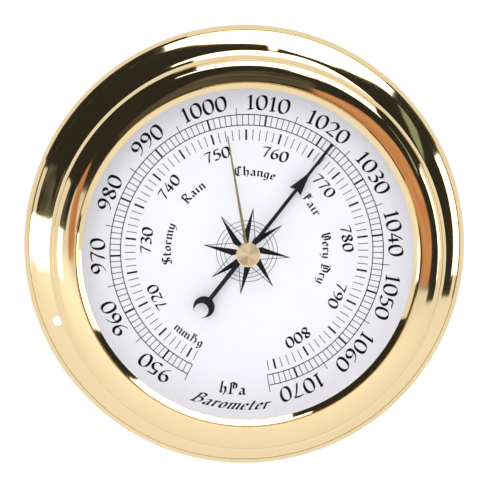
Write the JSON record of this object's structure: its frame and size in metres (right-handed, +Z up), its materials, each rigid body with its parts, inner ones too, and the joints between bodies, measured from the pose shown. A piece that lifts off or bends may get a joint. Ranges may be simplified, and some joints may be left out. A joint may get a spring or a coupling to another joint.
{
  "type": "aneroid barometer",
  "caption": "Round wall barometer in a flanged brass case with a printed dial, a reading hand, a knob-turned set hand and an aneroid movement",
  "frame": {"origin": "centre of the back of the case, in the plane of the wall that it hangs on", "axes": "+Z up as it hangs, -Y out of the wall towards the viewer, +Y into the wall, +X to the viewer's right"},
  "size_m": [0.145, 0.0373, 0.145],
  "materials": {
    "polished_brass": "mirror polish under clear lacquer",
    "turned_brass": "fine lathe-turned face",
    "movement_brass": "plain rolled sheet and bar",
    "steel": "plain bright steel",
    "capsule_metal": "pressed nickel-copper sheet",
    "black_lacquer": "semi-gloss black on stamped brass",
    "dial_white": "satin white with black printing",
    "white_paint": "satin white",
    "black_rubber": "matt",
    "zinc_plate": "dull zinc-plated steel",
    "clear_glass": "flat clear float glass"
  },
  "bodies": {
    "case": {"case_drum": "polished_brass", "wall_flange": "polished_brass", "bezel_ring": "polished_brass", "glass": "clear_glass", "glass_gasket": "black_rubber", "dial_wall_ring": "white_paint", "dial_plate": "dial_white", "dial_seat_ring": "movement_brass", "dial_foot_1": "movement_brass", "dial_foot_2": "movement_brass", "dial_foot_3": "movement_brass", "front_plate": "movement_brass", "base_plate": "movement_brass", "pillar_1": "movement_brass", "pillar_2": "movement_brass", "pillar_3": "movement_brass", "rear_pillar_screw_1": "steel", "rear_pillar_screw_2": "steel", "rear_pillar_screw_3": "steel", "front_pillar_screw_1": "steel", "front_pillar_screw_2": "steel", "front_pillar_screw_3": "steel", "pivot_bridge": "movement_brass", "bridge_post_1": "movement_brass", "bridge_post_2": "movement_brass", "hairspring": "steel", "hairspring_stud": "movement_brass", "shaft_bearing_1": "movement_brass", "shaft_bearing_2": "movement_brass", "carrier_clamp": "steel", "rear_cover": "zinc_plate", "cover_screw_1": "steel", "cover_screw_2": "steel", "cover_screw_3": "steel"},
    "pointer": {"indicator_hand": "black_lacquer", "hand_hub": "movement_brass", "hand_arbor": "steel", "pinion": "steel"},
    "set_pointer": {"set_hand": "turned_brass", "set_hub": "turned_brass", "set_arbor": "steel", "friction_washer": "steel", "set_knob": "turned_brass"},
    "sector": {"toothed_sector": "movement_brass", "sector_arbor": "steel"},
    "rocker": {"rocking_shaft": "steel", "main_lever": "movement_brass", "sector_pusher": "steel"},
    "carrier": {"carrier_plate": "steel", "carrier_nut": "steel", "capsule_rear_shell": "capsule_metal", "capsule_front_shell": "capsule_metal"},
    "capsule_face": {"capsule_centre": "capsule_metal"},
    "adjuster": {"adjusting_screw": "steel"}
  },
  "joints": [
    {"name": "pointer_turn", "type": "hinge", "parent": "case", "child": "pointer", "pos_m": [0, 0, 0], "axis": [0, 1, 0], "range_deg": [-192.6, 132.4], "deforming": ["hairspring"]},
    {"name": "sector_turn", "type": "hinge", "parent": "case", "child": "sector", "pos_m": [-0.0204, 0, 0], "axis": [0, 1, 0], "range_deg": [-8.28, 12.04]},
    {"name": "rocker_turn", "type": "hinge", "parent": "case", "child": "rocker", "pos_m": [-0.0204, -0.009, 0], "axis": [0, 0, 1], "range_deg": [-3.74, 2.57]},
    {"name": "capsule_flex", "type": "slide", "parent": "carrier", "child": "capsule_face", "axis": [0, 1, 0], "range_m": [-0.00107, 0.00073], "stiffness_N_per_m": 50},
    {"name": "set_hand_turn", "type": "hinge", "parent": "case", "child": "set_pointer", "pos_m": [0, 0, 0], "axis": [0, 1, 0], "continuous": true},
    {"name": "adjuster_turn", "type": "hinge", "parent": "case", "child": "adjuster", "pos_m": [-0.004, 0, 0.015], "axis": [0, 1, 0], "range_deg": [-270, 270]},
    {"name": "carrier_tilt", "type": "hinge", "parent": "case", "child": "carrier", "pos_m": [0, -0.006, -0.0198], "axis": [1, 0, 0], "range_deg": [-0.62, 0.62]}
  ],
  "couplings": [
    {"joint": "pointer_turn", "follows": "capsule_flex", "rad_per_m": 3151.3},
    {"joint": "sector_turn", "follows": "capsule_flex", "rad_per_m": -196.96},
    {"joint": "rocker_turn", "follows": "capsule_flex", "rad_per_m": 60.975},
    {"joint": "adjuster_turn", "follows": "carrier_tilt", "ratio": 437.31}
  ]
}
